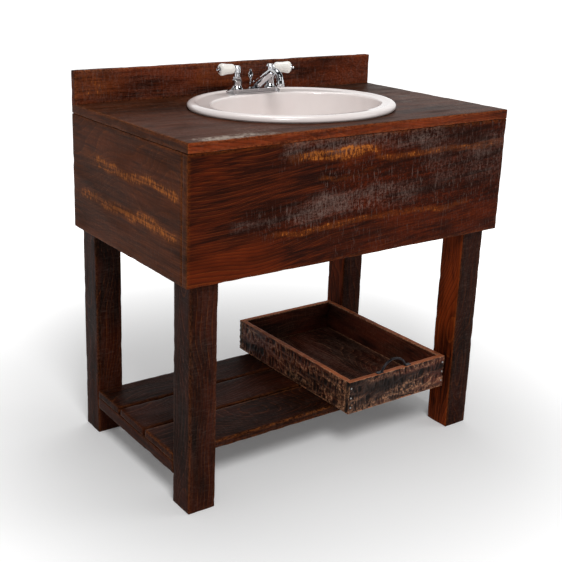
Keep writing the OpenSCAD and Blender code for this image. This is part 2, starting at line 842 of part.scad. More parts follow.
counter_top();
backsplash();
front_apron();
left_apron();
right_apron();
back_rail();
front_left_leg();
front_right_leg();
back_left_leg();
back_right_leg();
left_shelf_rail();
right_shelf_rail();
front_slat();
middle_slat();
back_slat();
top_cleats();
top_screws();
leg_screws();
shelf_screws();
sink_basin();
sealant_bead();
drain_flange();
drain_gasket();
drain_nut();
drain_body();
tailpiece();
pivot_nut();
pivot_rod();
popup_stopper();
lift_rod();
lift_knob();
clevis_strap();
clevis_screw();
faucet_body();
spout();
aerator();
supply_shanks();
shank_nuts();
hot_valve();
cold_valve();
hot_stem();
cold_stem();
hot_hub();
cold_hub();
hot_lever();
cold_lever();
hot_lever_cap();
cold_lever_cap();
tray_front();
tray_back();
tray_left();
tray_right();
tray_bottom();
tray_handle();
tray_handle_screws();
tray_nails();
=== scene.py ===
"""Looks of a drop-in oval sink on a rustic wooden vanity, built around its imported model.

Every size is in metres. The frame gives each piece its place; the settings below hold what a user
would change.
"""
import json
import math

import bmesh
import bpy
from bpy.props import FloatProperty, FloatVectorProperty, IntProperty, PointerProperty
from mathutils import Matrix, Vector, noise


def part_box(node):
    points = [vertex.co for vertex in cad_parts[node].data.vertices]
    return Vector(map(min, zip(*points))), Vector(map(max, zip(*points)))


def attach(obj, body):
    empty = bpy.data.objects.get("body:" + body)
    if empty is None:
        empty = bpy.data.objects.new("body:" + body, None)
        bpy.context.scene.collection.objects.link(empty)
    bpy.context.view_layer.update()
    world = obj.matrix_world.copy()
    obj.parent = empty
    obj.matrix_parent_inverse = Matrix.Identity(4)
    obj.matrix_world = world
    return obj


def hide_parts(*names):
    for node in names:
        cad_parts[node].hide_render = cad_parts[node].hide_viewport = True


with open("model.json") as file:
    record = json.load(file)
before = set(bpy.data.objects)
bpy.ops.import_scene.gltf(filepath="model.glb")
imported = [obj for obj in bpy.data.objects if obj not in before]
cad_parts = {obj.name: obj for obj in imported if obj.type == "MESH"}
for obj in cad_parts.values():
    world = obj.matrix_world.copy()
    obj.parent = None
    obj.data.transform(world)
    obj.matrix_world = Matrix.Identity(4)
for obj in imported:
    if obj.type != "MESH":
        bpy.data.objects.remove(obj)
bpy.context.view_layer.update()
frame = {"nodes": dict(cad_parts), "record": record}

bl_info = {
    "name": "Washstand Looks",
    "version": (1, 0, 0),
    "blender": (4, 5, 0),
    "location": "3D View > Sidebar > Washstand",
    "description": "Worn boards, glazed china and chrome for a sink vanity",
    "category": "Object",
}

BODY_OF = {node: body for body, nodes in frame["record"]["behaviour"]["bodies"].items() for node in nodes}
SLOT_OF = {part["node"]: part["material_slot"] for part in frame["record"]["subparts"]}
MM = 0.001


def linear(red, green, blue):
    """A colour given as 0-255 display values, as the shaders want it."""
    shares = (red / 255, green / 255, blue / 255)
    return tuple(c / 12.92 if c <= 10 / 255 else ((c + 0.055) / 1.055) ** 2.4 for c in shares)


def colour(name, description, value):
    return FloatVectorProperty(name=name, description=description, default=value, subtype="COLOR",
                               min=0.0, max=1.0, size=3)


def length(name, description, value, least=0.0):
    return FloatProperty(name=name, description=description, default=value, subtype="DISTANCE", unit="LENGTH",
                         min=least)


def angle(name, description, degrees):
    return FloatProperty(name=name, description=description, default=math.radians(degrees), subtype="ANGLE",
                         unit="ROTATION")


# ---------------------------------------------------------------- settings

class WoodSettings(bpy.types.PropertyGroup):
    """Colours and wear of the reclaimed boards."""
    dark: colour("Dark", "Old stain in the pores", linear(30, 11, 6))
    body: colour("Body", "Common brown of the boards", linear(72, 27, 12))
    warm: colour("Warm", "Red-brown heartwood", linear(98, 35, 11))
    amber: colour("Amber", "Golden wood where the stain has worn off", linear(184, 106, 44))
    grey: colour("Grey", "Weathered surface", linear(116, 96, 88))
    cell: length("Cell", "Size of the mesh cells on a board", 7 * MM)
    rounding: length("Rounding", "Round of the worn edges", 2 * MM)
    relief: length("Relief", "Depth of the uneven surface", 0.7 * MM)
    chip: length("Chips", "Depth of the dents along the edges", 2.4 * MM)
    edge_width: length("Edge width", "Width of the worn band along an edge", 9 * MM)


class ChinaSettings(bpy.types.PropertyGroup):
    """Shape and glaze of the sink."""
    glaze: colour("Glaze", "Colour of the sink", linear(233, 225, 222))
    porcelain: colour("Porcelain", "Colour of the levers", linear(240, 237, 230))
    deck_height: length("Deck height", "Faucet deck above the counter", 12 * MM)
    rim_width: length("Rim width", "Width of the rolled rim", 27 * MM)
    rim_rise: length("Rim rise", "Rolled rim above the deck", 3.5 * MM)
    seal: length("Seal", "Sealant under the rim", 1.5 * MM)
    bowl_length: length("Bowl length", "Length of the bowl at its edge", 446 * MM)
    bowl_width: length("Bowl width", "Width of the bowl at its edge", 326 * MM)
    bowl_shift: length("Bowl shift", "Bowl centre in front of the rim centre", 19 * MM)
    bowl_depth: length("Bowl depth", "Depth below the deck", 150 * MM)
    wall: length("Wall", "Thickness of the china", 10 * MM)
    lip: length("Lip", "Rounding of the bowl's edge", 6 * MM)
    segments: IntProperty(name="Segments", description="Points round the oval", default=128, min=32, max=256)


class MetalSettings(bpy.types.PropertyGroup):
    """Colours of the metal pieces."""
    chrome: colour("Chrome", "Polished plating", (0.58, 0.59, 0.61))
    brass: colour("Brass", "Machined brass", (0.60, 0.42, 0.18))
    steel: colour("Steel", "Screws and nails", (0.36, 0.35, 0.34))
    iron: colour("Iron", "Forged tray handle", linear(34, 28, 32))


class StageSettings(bpy.types.PropertyGroup):
    """Camera and light."""
    camera_x: length("Camera X", "Camera to the right", -1.4245, least=-10.0)
    camera_y: length("Camera Y", "Camera to the back", -1.8795, least=-10.0)
    camera_z: length("Camera Z", "Camera height", 1.2281)
    azimuth: angle("Azimuth", "View turned from straight ahead", -34.017)
    elevation: angle("Elevation", "View from above", 16.767)
    roll: angle("Roll", "Camera roll", 1.326)
    lens: FloatProperty(name="Lens", description="Focal length in millimetres", default=62.49, min=20,
                        max=200)
    shift: FloatProperty(name="Shift", description="Lens shift to the right and down", default=0.08,
                         min=0, max=0.2)
    floor: colour("Floor", "Studio floor", (0.92, 0.92, 0.92))


SETTINGS = {
    "washstand_wood": WoodSettings,
    "washstand_china": ChinaSettings,
    "washstand_metal": MetalSettings,
    "washstand_stage": StageSettings,
}

# Tones of single boards, where they differ from the wood settings
DARK_TONE = {"body": linear(42, 17, 9), "warm": linear(70, 27, 12), "dark": linear(15, 7, 4)}
SIDE_TONE = {"body": linear(88, 46, 25), "warm": linear(110, 54, 27), "dark": linear(50, 26, 15),
             "grey": linear(104, 82, 68)}
BACK_TONE = {"body": linear(88, 41, 25), "warm": linear(128, 54, 26)}
EDGE_TONE = {"body": linear(112, 44, 20), "warm": linear(134, 54, 22), "amber": linear(170, 96, 50)}
# Painted light: the inner faces of the right legs get a lighter, redder copy of the leg wood, as if lit from
# the left.
PAINTED_LIGHT_INNER_TONE = {"body": linear(92, 36, 14), "warm": linear(124, 48, 17)}
# The counter's grey is weathering, and also the colour of a painted sheen along its front-left edge.
TOP_TONE = {"body": linear(60, 27, 13), "warm": linear(88, 40, 17), "dark": linear(28, 12, 6),
            "grey": linear(156, 142, 130), "amber": linear(160, 98, 54)}
# On the hewn tray, amber colours the painted highlights on the ridges and dark the painted shade in the cuts.
TRAY_TONE = {"body": linear(48, 19, 10), "warm": linear(112, 42, 22), "dark": linear(13, 6, 4),
             "amber": linear(255, 194, 146), "grey": linear(130, 102, 88)}
RIM_TONE = {"body": linear(164, 90, 54), "warm": linear(182, 104, 64), "dark": linear(118, 62, 37),
            "amber": linear(238, 200, 168)}

# Strips of wear on the aprons: share of the height below the top, half width, start, end, strength
FRONT_AMBER = [(0.13, 0.013, -0.23, 0.08, 1.0), (0.20, 0.009, -0.02, 0.50, 0.65),
               (0.31, 0.006, -0.17, 0.02, 0.55), (0.70, 0.008, -0.28, 0.36, 0.6)]
FRONT_ROUGH = [(0.06, 0.045, -0.28, 0.6, 0.9), (0.40, 0.070, -0.17, 0.6, 1.0),
               (0.60, 0.045, -0.32, 0.6, 0.9), (0.84, 0.06, -0.12, 0.6, 0.45)]
FRONT_GREY = [(0.04, 0.026, -0.27, 0.34, 0.75), (0.53, 0.030, -0.20, 0.2, 0.75),
              (0.30, 0.060, 0.16, 0.6, 0.42), (0.58, 0.014, -0.36, -0.16, 0.5)]
SIDE_AMBER = [(0.33, 0.014, -0.26, 0.22, 0.85), (0.66, 0.016, -0.26, 0.28, 0.85)]

# How fast each pattern in a board's surface changes, per metre
WAVE_RATE, DENT_RATE, NICK_RATE, SLASH_RATE, BARK_RATE = 30, 34, 120, 36, 46
GRAIN_STRETCH = 0.22  # how much slower the waves change along the grain
FACING = 0.7  # a face looks along an axis when that part of its normal is above this
WOOD_BUMP, WOOD_BUMP_DEPTH = 0.6, 1.4 * MM
FINE_BUMP_DEPTH = 0.4 * MM
SENSOR_WIDTH = 36  # of the camera, in millimetres


# ---------------------------------------------------------------- shader building

class Graph:
    """Adds nodes to a shader tree and joins them."""

    def __init__(self, tree):
        self.tree = tree

    def add(self, kind, inputs=None, **settings):
        made = self.tree.nodes.new("ShaderNode" + kind)
        for key, value in settings.items():
            setattr(made, key, value)
        for key, value in (inputs or {}).items():
            self.feed(made.inputs[key], value)
        return made

    def feed(self, socket, value):
        if isinstance(value, bpy.types.NodeSocket):
            self.tree.links.new(value, socket)
        elif socket.type == "RGBA":
            socket.default_value = (*value[:3], 1.0)
        else:
            socket.default_value = value

    def mapped(self, vector, scale, place=(0, 0, 0), turn=(0, 0, 0)):
        return self.add("Mapping", {"Vector": vector, "Scale": scale, "Location": place,
                                    "Rotation": turn}).outputs[0]

    def noise(self, vector, scale=1.0, detail=2.0, rough=0.5, bend=0.0):
        return self.add("TexNoise", {"Vector": vector, "Scale": scale, "Detail": detail,
                                     "Roughness": rough, "Distortion": bend}).outputs[0]

    def step(self, value, low, high, out_low=0.0, out_high=1.0):
        return self.add("MapRange", {0: value, 1: low, 2: high, 3: out_low, 4: out_high},
                        interpolation_type="SMOOTHSTEP").outputs[0]

    def maths(self, operation, first, second=0.0):
        return self.add("Math", {0: first, 1: second}, operation=operation).outputs[0]

    def blend(self, amount, first, second):
        return self.add("Mix", {0: amount, 6: first, 7: second}, data_type="RGBA").outputs[2]

    def vector(self, x, y, z):
        return self.add("CombineXYZ", {0: x, 1: y, 2: z}).outputs[0]


def shader_group(name, inputs, outputs):
    """An empty node group with named sockets: returns it, its graph, its inputs and its outputs."""
    tree = bpy.data.node_groups.new(name, "ShaderNodeTree")
    for label, kind, value in inputs:
        socket = tree.interface.new_socket(label, in_out="INPUT", socket_type="NodeSocket" + kind)
        if value is not None:
            socket.default_value = value
    for label, kind in outputs:
        tree.interface.new_socket(label, in_out="OUTPUT", socket_type="NodeSocket" + kind)
    graph = Graph(tree)
    start = tree.nodes.new("NodeGroupInput")
    end = tree.nodes.new("NodeGroupOutput")
    return tree, graph, start.outputs, end.inputs


def wood_group():
    """Old stained boards: colour, roughness and height. The grain runs along the vector's X, up is its Z."""
    name = "Reclaimed wood"
    if name in bpy.data.node_groups:
        return bpy.data.node_groups[name]
    black, white = (0.0, 0.0, 0.0, 1.0), (1.0, 1.0, 1.0, 1.0)
    tree, g, given, out = shader_group(name, [
        ("Vector", "Vector", None), ("Dark", "Color", black), ("Body", "Color", white),
        ("Warm", "Color", white), ("Amber", "Color", white), ("Grey", "Color", white),
        ("Warmth", "Float", 0.5), ("Figure", "Float", 1.0), ("Amber Amount", "Float", 0.3),
        ("Rough Amount", "Float", 0.3), ("Grey And Sheen Amount", "Float", 0.3), ("Edge", "Float", 0.0),
        ("Dark Patch And Cut Shade", "Float", 0.0),
    ], [("Color", "Color"), ("Roughness", "Float"), ("Height", "Float")])

    # growth rings, streaks, fibres and the larger zones
    v = given["Vector"]
    parts = g.add("SeparateXYZ", {0: v}).outputs
    across = g.maths("ADD", parts[2], g.maths("MULTIPLY", parts[1], 0.8))
    sway = g.noise(g.mapped(v, (2.2, 5.0, 5.0)), detail=1.0)
    rings_at = g.maths("ADD", across, g.maths("MULTIPLY", sway, g.maths("MULTIPLY", given["Figure"], 0.30)))
    ring_spot = g.vector(g.maths("MULTIPLY", parts[0], 0.12), 0.0, rings_at)
    rings = g.add("TexWave", {"Vector": ring_spot, "Scale": 38.0, "Distortion": 1.8, "Detail": 3.0,
                              "Detail Scale": 2.0},
                  wave_type="BANDS", bands_direction="Z", wave_profile="SAW").outputs[1]
    streak = g.noise(g.mapped(v, (7, 130, 130)), detail=5.0, rough=0.65, bend=0.3)
    fibre = g.noise(g.mapped(v, (26, 620, 620)), detail=3.0, rough=0.6)
    zone = g.noise(g.mapped(v, (3.1, 9, 9), (3.1, 0.4, 1.7)), detail=3.0, rough=0.6)
    blotch = g.noise(g.mapped(v, (9, 30, 30), (1.3, 2.2, 0.1)), detail=4.0, rough=0.65)
    saw = g.noise(g.mapped(v, (260, 48, 48)), detail=4.0, rough=0.75, bend=0.4)
    speckle = g.noise(g.mapped(v, (120, 210, 210)), detail=4.0, rough=0.75, bend=0.5)

    # brown wood with its pale and dark lines
    tone = g.maths("ADD", g.maths("MULTIPLY", streak, 0.7), g.maths("MULTIPLY", fibre, 0.3))
    colour_now = g.blend(g.step(tone, 0.36, 0.62), given["Dark"], given["Body"])
    warm_zone = g.step(g.maths("ADD", zone, g.maths("MULTIPLY", tone, 0.4)), 0.56, 0.86)
    warm_zone = g.maths("MULTIPLY", warm_zone, given["Warmth"])
    colour_now = g.blend(warm_zone, colour_now, given["Warm"])
    smooth = g.maths("SUBTRACT", 1.0, given["Rough Amount"])
    pale_lines = g.maths("MULTIPLY", smooth, g.step(tone, 0.42, 0.6))
    pale_lines = g.maths("MULTIPLY", g.step(rings, 0.80, 0.93), pale_lines)
    dark_lines = g.maths("MULTIPLY", g.step(rings, 0.55, 0.12), smooth)
    colour_now = g.blend(g.maths("MULTIPLY", dark_lines, 0.38), colour_now, given["Dark"])
    pale = g.blend(0.30, given["Warm"], given["Amber"])
    colour_now = g.blend(g.maths("MULTIPLY", pale_lines, 0.38), colour_now, pale)

    # sawn, weathered and worn wood, with a painted sheen, painted highlights on hewn ridges and painted shade
    # in the cuts
    rough_zone = given["Rough Amount"]
    rough_pores = g.maths("MULTIPLY", rough_zone, g.step(speckle, 0.62, 0.42, 0.0, 0.75))
    colour_now = g.blend(rough_pores, colour_now, given["Dark"])
    saw_lines = g.maths("MULTIPLY", g.step(saw, 0.54, 0.70), rough_zone)
    colour_now = g.blend(g.maths("MULTIPLY", saw_lines, 0.55), colour_now, given["Grey"])
    greyed = g.maths("ADD", g.maths("MULTIPLY", blotch, 0.35), g.maths("MULTIPLY", saw, 0.45))
    greyed = g.maths("ADD", greyed, g.maths("MULTIPLY", speckle, 0.5))
    # On the counter the grey strips also hold a painted sheen.
    grey_and_sheen_zone = g.maths("MULTIPLY", g.step(greyed, 0.56, 0.82), given["Grey And Sheen Amount"])
    colour_now = g.blend(grey_and_sheen_zone, colour_now, given["Grey"])
    flecks = g.noise(g.mapped(v, (190, 60, 60), (4.4, 0.3, 2.9)), detail=4.0, rough=0.75, bend=0.5)
    broken = g.maths("ADD", g.maths("MULTIPLY", flecks, 0.65), g.maths("MULTIPLY", streak, 0.35))
    glow = g.maths("MULTIPLY", given["Amber Amount"], g.step(broken, 0.36, 0.56, 0.05, 0.60))
    colour_now = g.blend(glow, colour_now, pale)
    gate = g.step(given["Amber Amount"], 0.0, 1.0, 0.70, 0.46)
    amber_zone = g.maths("MULTIPLY", g.step(g.maths("SUBTRACT", broken, gate), 0.0, 0.09),
                         g.step(given["Amber Amount"], 0.0, 0.15))
    colour_now = g.blend(g.maths("MULTIPLY", amber_zone, 0.85), colour_now, given["Amber"])
    stain = g.step(g.noise(g.mapped(v, (9, 40, 40), (0.7, 5.2, 2.4)), detail=4.0, rough=0.7), 0.56, 0.72)
    colour_now = g.blend(g.maths("MULTIPLY", stain, 0.6), colour_now, given["Dark"])
    # The edge mark turns wood pale: wear along the edges, and on hewn boards painted highlights along the
    # ridges.
    worn = g.maths("MULTIPLY", given["Edge"], g.step(speckle, 0.40, 0.60))
    colour_now = g.blend(worn, colour_now, g.blend(0.5, given["Warm"], given["Amber"]))
    # Painted shade: the deep tool cuts darken; elsewhere this mark gives dark patches from the wave noise.
    colour_now = g.blend(given["Dark Patch And Cut Shade"], colour_now, given["Dark"])

    # relief and polish
    height = g.maths("ADD", g.maths("MULTIPLY", tone, 0.6), g.maths("MULTIPLY", saw_lines, 0.35))
    height = g.maths("ADD", height, g.maths("MULTIPLY", g.maths("MULTIPLY", speckle, rough_zone), 0.8))
    height = g.maths("SUBTRACT", height, g.maths("MULTIPLY", dark_lines, 0.15))
    roughness = g.maths("ADD", g.maths("MULTIPLY", fibre, 0.25), g.maths("MULTIPLY", rough_zone, 0.22))
    roughness = g.maths("ADD", roughness, g.maths("MULTIPLY", given["Dark Patch And Cut Shade"], 0.25))
    g.feed(out["Color"], colour_now)
    g.feed(out["Roughness"], g.maths("ADD", roughness, 0.24))
    g.feed(out["Height"], height)
    return tree


def smudge_group():
    """Faint water marks and fingerprints on a polished surface: a roughness that varies."""
    name = "Smudges"
    if name in bpy.data.node_groups:
        return bpy.data.node_groups[name]
    tree, g, given, out = shader_group(name, [
        ("Vector", "Vector", None), ("Low", "Float", 0.04), ("High", "Float", 0.14),
        ("Scale", "Float", 60.0),
    ], [("Roughness", "Float")])
    cloud = g.noise(given["Vector"], given["Scale"], detail=4.0, rough=0.62)
    g.feed(out["Roughness"], g.step(cloud, 0.35, 0.75, given["Low"], given["High"]))
    return tree


def mottle_group():
    """A colour that drifts between two tones, with a fine height, for cast, machined and moulded surfaces."""
    name = "Mottle"
    if name in bpy.data.node_groups:
        return bpy.data.node_groups[name]
    tree, g, given, out = shader_group(name, [
        ("Vector", "Vector", None), ("Base", "Color", (1.0, 1.0, 1.0, 1.0)),
        ("Second", "Color", (1.0, 1.0, 1.0, 1.0)), ("Scale", "Float", 200.0), ("Low", "Float", 0.3),
        ("High", "Float", 0.6),
    ], [("Color", "Color"), ("Roughness", "Float"), ("Height", "Float")])
    coarse = g.noise(given["Vector"], given["Scale"], detail=5.0, rough=0.65)
    grain = g.noise(g.mapped(given["Vector"], (6, 6, 6)), given["Scale"], detail=2.0)
    g.feed(out["Color"], g.blend(g.step(coarse, 0.35, 0.7), given["Base"], given["Second"]))
    g.feed(out["Roughness"], g.step(coarse, 0.3, 0.7, given["Low"], given["High"]))
    g.feed(out["Height"], g.maths("ADD", coarse, g.maths("MULTIPLY", grain, 0.4)))
    return tree


def new_material(name):
    """A material with a Principled BSDF: returns it, its graph, the shader and the object coordinates."""
    material = bpy.data.materials.new(name)
    material.use_nodes = True
    g = Graph(material.node_tree)
    shader = material.node_tree.nodes["Principled BSDF"]
    place = g.add("TexCoord").outputs["Object"]
    return material, g, shader, place


def bumped(g, height, strength, distance):
    return g.add("Bump", {"Strength": strength, "Distance": distance, "Height": height}).outputs[0]


GRAIN_TURNS = {"x": (0, 0, 0), "y": (0, 0, math.pi / 2), "z": (0, math.pi / 2, 0)}


def strips(g, place, bands, axis, wobble_scale, side=2):
    """A mask of strips along axis, across the board on side: strips of wear, and on the counter a painted
    sheen.

    Each band is (place across, half width, start, end, strength); axis and side number X, Y and Z from 0.
    """
    spot = g.add("SeparateXYZ", {0: place}).outputs
    wobble = g.noise(g.mapped(place, (wobble_scale, wobble_scale, wobble_scale)), detail=3.0)
    wobble = g.maths("SUBTRACT", wobble, 0.5)
    across = g.maths("ADD", spot[side], g.maths("MULTIPLY", wobble, 0.05))
    along = g.maths("ADD", spot[axis], g.maths("MULTIPLY", wobble, 0.3))
    total = 0.0
    for middle, half, start, end, strength in bands:
        away = g.maths("ABSOLUTE", g.maths("SUBTRACT", across, middle))
        strip = g.maths("MULTIPLY", g.step(away, half * 1.25, half * 0.5),
                        g.step(along, start, start + 0.06))
        strip = g.maths("MULTIPLY", strip, g.step(along, end, end - 0.10))
        total = g.maths("MAXIMUM", total, g.maths("MULTIPLY", strip, strength))
    return total


def below(top, drop, rows):
    """Bands of wear whose places are given as shares of a board's height, drop, below its top."""
    return [(top - share * drop, *rest) for share, *rest in rows]


def wood_material(name, grain, seed, warmth=0.5, amber=0.0, rough=0.2, grey=0.3, edge=0.7, dark_patch_and_cut_shade=0.6,
                  figure=1.0, tilt=0.0, tone=None, amber_bands=(), rough_bands=(), grey_and_sheen_bands=(), side=2,
                  gloss=0.02):
    """Reclaimed wood for one board, with optional strips along it: wear, and on the counter a painted sheen.
    """
    wood = bpy.context.scene.washstand_wood
    material, g, shader, place = new_material(name)
    drift = ((seed * 0.731) % 5, (seed * 1.317) % 5, (seed * 2.113) % 5)
    turn = Vector(GRAIN_TURNS[grain]) + Vector((0, tilt, 0))
    along = g.mapped(place, (1, 1, 1), drift, turn)
    axis = 1 if grain == "y" else 0
    masks = []
    for flat, bands in ((amber, amber_bands), (rough, rough_bands), (grey, grey_and_sheen_bands)):
        masks.append(g.maths("MAXIMUM", strips(g, place, bands, axis, 8.0, side), flat) if bands else flat)
    tones = tone or {}
    made = g.add("Group", node_tree=wood_group())
    for label, value in {
        "Vector": along, "Dark": tones.get("dark", wood.dark), "Body": tones.get("body", wood.body),
        "Warm": tones.get("warm", wood.warm), "Amber": tones.get("amber", wood.amber),
        "Grey": tones.get("grey", wood.grey), "Warmth": warmth, "Figure": figure, "Amber Amount": masks[0],
        "Rough Amount": masks[1], "Grey And Sheen Amount": masks[2],
        "Edge": g.maths("MULTIPLY", g.add("Attribute", attribute_name="edge").outputs["Fac"], edge),
        "Dark Patch And Cut Shade": g.maths("MULTIPLY", g.add("Attribute", attribute_name="dark_patch_and_cut_shade").outputs["Fac"], dark_patch_and_cut_shade),
    }.items():
        g.feed(made.inputs[label], value)
    g.feed(shader.inputs["Base Color"], made.outputs["Color"])
    g.feed(shader.inputs["Roughness"], made.outputs["Roughness"])
    g.feed(shader.inputs["Normal"], bumped(g, made.outputs["Height"], WOOD_BUMP, WOOD_BUMP_DEPTH))
    shader.inputs["Specular IOR Level"].default_value = gloss
    return material


def mottled_material(name, base, second, low, high, metallic=0.0, scale=200.0, bump=0.15):
    """A finish that drifts between two tones and between two roughnesses."""
    material, g, shader, place = new_material(name)
    made = g.add("Group", node_tree=mottle_group())
    for label, value in {"Vector": place, "Base": tuple(base), "Second": tuple(second), "Low": low,
                         "High": high, "Scale": scale}.items():
        g.feed(made.inputs[label], value)
    g.feed(shader.inputs["Base Color"], made.outputs["Color"])
    g.feed(shader.inputs["Roughness"], made.outputs["Roughness"])
    g.feed(shader.inputs["Normal"], bumped(g, made.outputs["Height"], bump, FINE_BUMP_DEPTH))
    shader.inputs["Metallic"].default_value = metallic
    return material


def chrome_material():
    metal = bpy.context.scene.washstand_metal
    material, g, shader, place = new_material("Chrome plating")
    made = g.add("Group", node_tree=smudge_group())
    for label, value in {"Vector": place, "Low": 0.035, "High": 0.12, "Scale": 70.0}.items():
        g.feed(made.inputs[label], value)
    shader.inputs["Base Color"].default_value = (*metal.chrome, 1)
    shader.inputs["Metallic"].default_value = 1.0
    g.feed(shader.inputs["Roughness"], made.outputs["Roughness"])
    return material


def glaze_material(name, base, tint):
    """Glossy glaze with a faint drift of colour and a slightly uneven surface."""
    material, g, shader, place = new_material(name)
    drift = g.noise(place, 7.0, detail=3.0)
    g.feed(shader.inputs["Base Color"], g.blend(g.step(drift, 0.35, 0.7), tuple(base), tuple(tint)))
    made = g.add("Group", node_tree=smudge_group())
    for label, value in {"Vector": place, "Low": 0.09, "High": 0.17, "Scale": 26.0}.items():
        g.feed(made.inputs[label], value)
    g.feed(shader.inputs["Roughness"], made.outputs["Roughness"])
    g.feed(shader.inputs["Normal"], bumped(g, g.noise(place, 34.0, detail=1.0), 0.05, 0.001))
    shader.inputs["Coat Weight"].default_value = 0.3
    shader.inputs["Coat Roughness"].default_value = 0.04
    return material


# ---------------------------------------------------------------- mesh building

def dress(obj, material):
    """Gives an object one material in place of those it has."""
    obj.data.materials.clear()
    obj.data.materials.append(material)


def dress_faces(obj, material, chosen):
    """Gives one more material to the faces that chosen picks."""
    obj.data.materials.append(material)
    for face in obj.data.polygons:
        if chosen(face):
            face.material_index = len(obj.data.materials) - 1


def link(name, mesh, material):
    obj = bpy.data.objects.new(name, mesh)
    bpy.context.scene.collection.objects.link(obj)
    dress(obj, material)
    return obj


def piece(name, bm, material, *nodes):
    """Makes a piece from a bmesh, standing for the named nodes and riding on their body."""
    mesh = bpy.data.meshes.new(name)
    bm.to_mesh(mesh)
    bm.free()
    for face in mesh.polygons:
        face.use_smooth = True
    obj = link(name, mesh, material)
    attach(obj, BODY_OF[nodes[0]])
    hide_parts(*nodes)
    return obj


def oval_shell(shape, segments):
    """A closed shell. shape is a row of (half length, half width, centre y, height), once round its wall."""
    bm = bmesh.new()
    verts = [bm.verts.new((1, 0, i * MM)) for i in range(len(shape))]
    edges = [bm.edges.new((verts[i - 1], vert)) for i, vert in enumerate(verts)]
    bmesh.ops.spin(bm, geom=verts + edges, cent=(0, 0, 0), axis=(0, 0, 1), angle=math.tau, steps=segments,
                   use_merge=True)
    for vert in bm.verts:
        half_x, half_y, centre_y, height = shape[round(vert.co.z / MM)]
        turn = math.atan2(vert.co.y, vert.co.x)
        vert.co = (half_x * math.cos(turn), centre_y + half_y * math.sin(turn), height)
    bm.normal_update()
    bmesh.ops.recalc_face_normals(bm, faces=bm.faces[:])
    return bm


def oval(half_x, half_y, centre_y, height):
    """The place and scale that turn a unit circle into an oval at a height."""
    return Matrix.Translation((0, centre_y, height)) @ Matrix.Diagonal((half_x, half_y, 1, 1))


def rough_board(node, grain, seed, cell=None, relief=None, chip=None, hewn=0.0, centre=None, band=None,
                bed=0.0):
    """A worn board in the place of a CAD board: rounded, uneven and dented along its edges.

    It stays within the CAD board's box, except that its underside goes bed deep into the board it stands
    on, so that no light shows between. hewn is the depth of the tool cuts on the upright faces that look
    away from centre.
    """
    wood = bpy.context.scene.washstand_wood
    cell, band = cell or wood.cell, band or wood.edge_width
    relief = wood.relief if relief is None else relief
    chip = wood.chip if chip is None else chip
    low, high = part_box(node)
    low.z -= bed
    size = high - low
    bm = bmesh.new()
    place = Matrix.Translation((low + high) / 2) @ Matrix.Diagonal((*size, 1))
    bmesh.ops.create_cube(bm, size=1.0, matrix=place)
    bmesh.ops.bevel(bm, geom=bm.edges[:], offset=wood.rounding, segments=2, profile=0.5, affect="EDGES",
                    material=-1)
    for axis in range(3):
        cuts = max(1, round(size[axis] / cell) - 1)
        long_edges = [edge for edge in bm.edges
                      if abs((edge.verts[0].co - edge.verts[1].co)[axis]) > size[axis] * 0.5]
        bmesh.ops.subdivide_edges(bm, edges=long_edges, cuts=cuts, use_grid_fill=True)
    bm.normal_update()
    edge_wear_and_glint_layer = bm.verts.layers.float.new("edge")
    dark_patch_and_cut_shade_layer = bm.verts.layers.float.new("dark_patch_and_cut_shade")
    axis = "xyz".index(grain)
    shift = Vector((seed * 3.17, seed * 1.73, seed * 2.29))
    moves = []
    for v in bm.verts:
        spot = v.co.copy()
        spot[axis] *= GRAIN_STRETCH
        gaps = sorted(min(v.co[i] - low[i], high[i] - v.co[i]) for i in range(3))
        near = max(0.0, 1 - gaps[1] / band)
        wave = 0.5 + 0.5 * noise.fractal(spot * WAVE_RATE + shift, 0.8, 2.1, 3)
        dent = max(0.0, noise.noise(v.co * DENT_RATE + shift)
                   + 0.25 * noise.noise(v.co * NICK_RATE + shift))
        cut = ridge_glint = 0.0
        if hewn and abs(v.normal.z) < 0.5 and v.normal.dot(v.co - centre) > 0:
            slash_spot, bark_spot = v.co * SLASH_RATE, v.co * BARK_RATE
            slash_spot[axis] *= 2.9
            bark_spot[axis] *= 0.35
            slash = abs(noise.noise(slash_spot + shift))
            bark = abs(noise.noise(bark_spot + shift * 1.7)) + 0.05
            cut = min(1.0, 2.4 * min(slash, 1.3 * bark))
            # ridge_glint marks the narrow ridges between the cuts for painted highlights.
            ridge_glint = max(0.0, 1 - 8 * slash, 1 - 7 * bark) * min(1.0, 3.0 * max(0.0, wave - 0.32))
        depth = relief * min(1, max(0, wave)) + chip * near * near * dent + hewn * cut
        moves.append((v, v.normal * -depth))
        # The edge mark holds wear along the edges and painted ridge highlights; the next holds painted shade
        # in the deep cuts and dark patches where the wave is low.
        v[edge_wear_and_glint_layer] = max(ridge_glint, min(1.0, near * near * 1.3) * (1 - 0.5 * dent))
        v[dark_patch_and_cut_shade_layer] = min(1.0, max(0.0, 0.9 - 1.9 * wave) + 1.4 * max(0.0, cut - 0.35))
    for v, move in moves:
        v.co += move
    return bm


# ---------------------------------------------------------------- operators

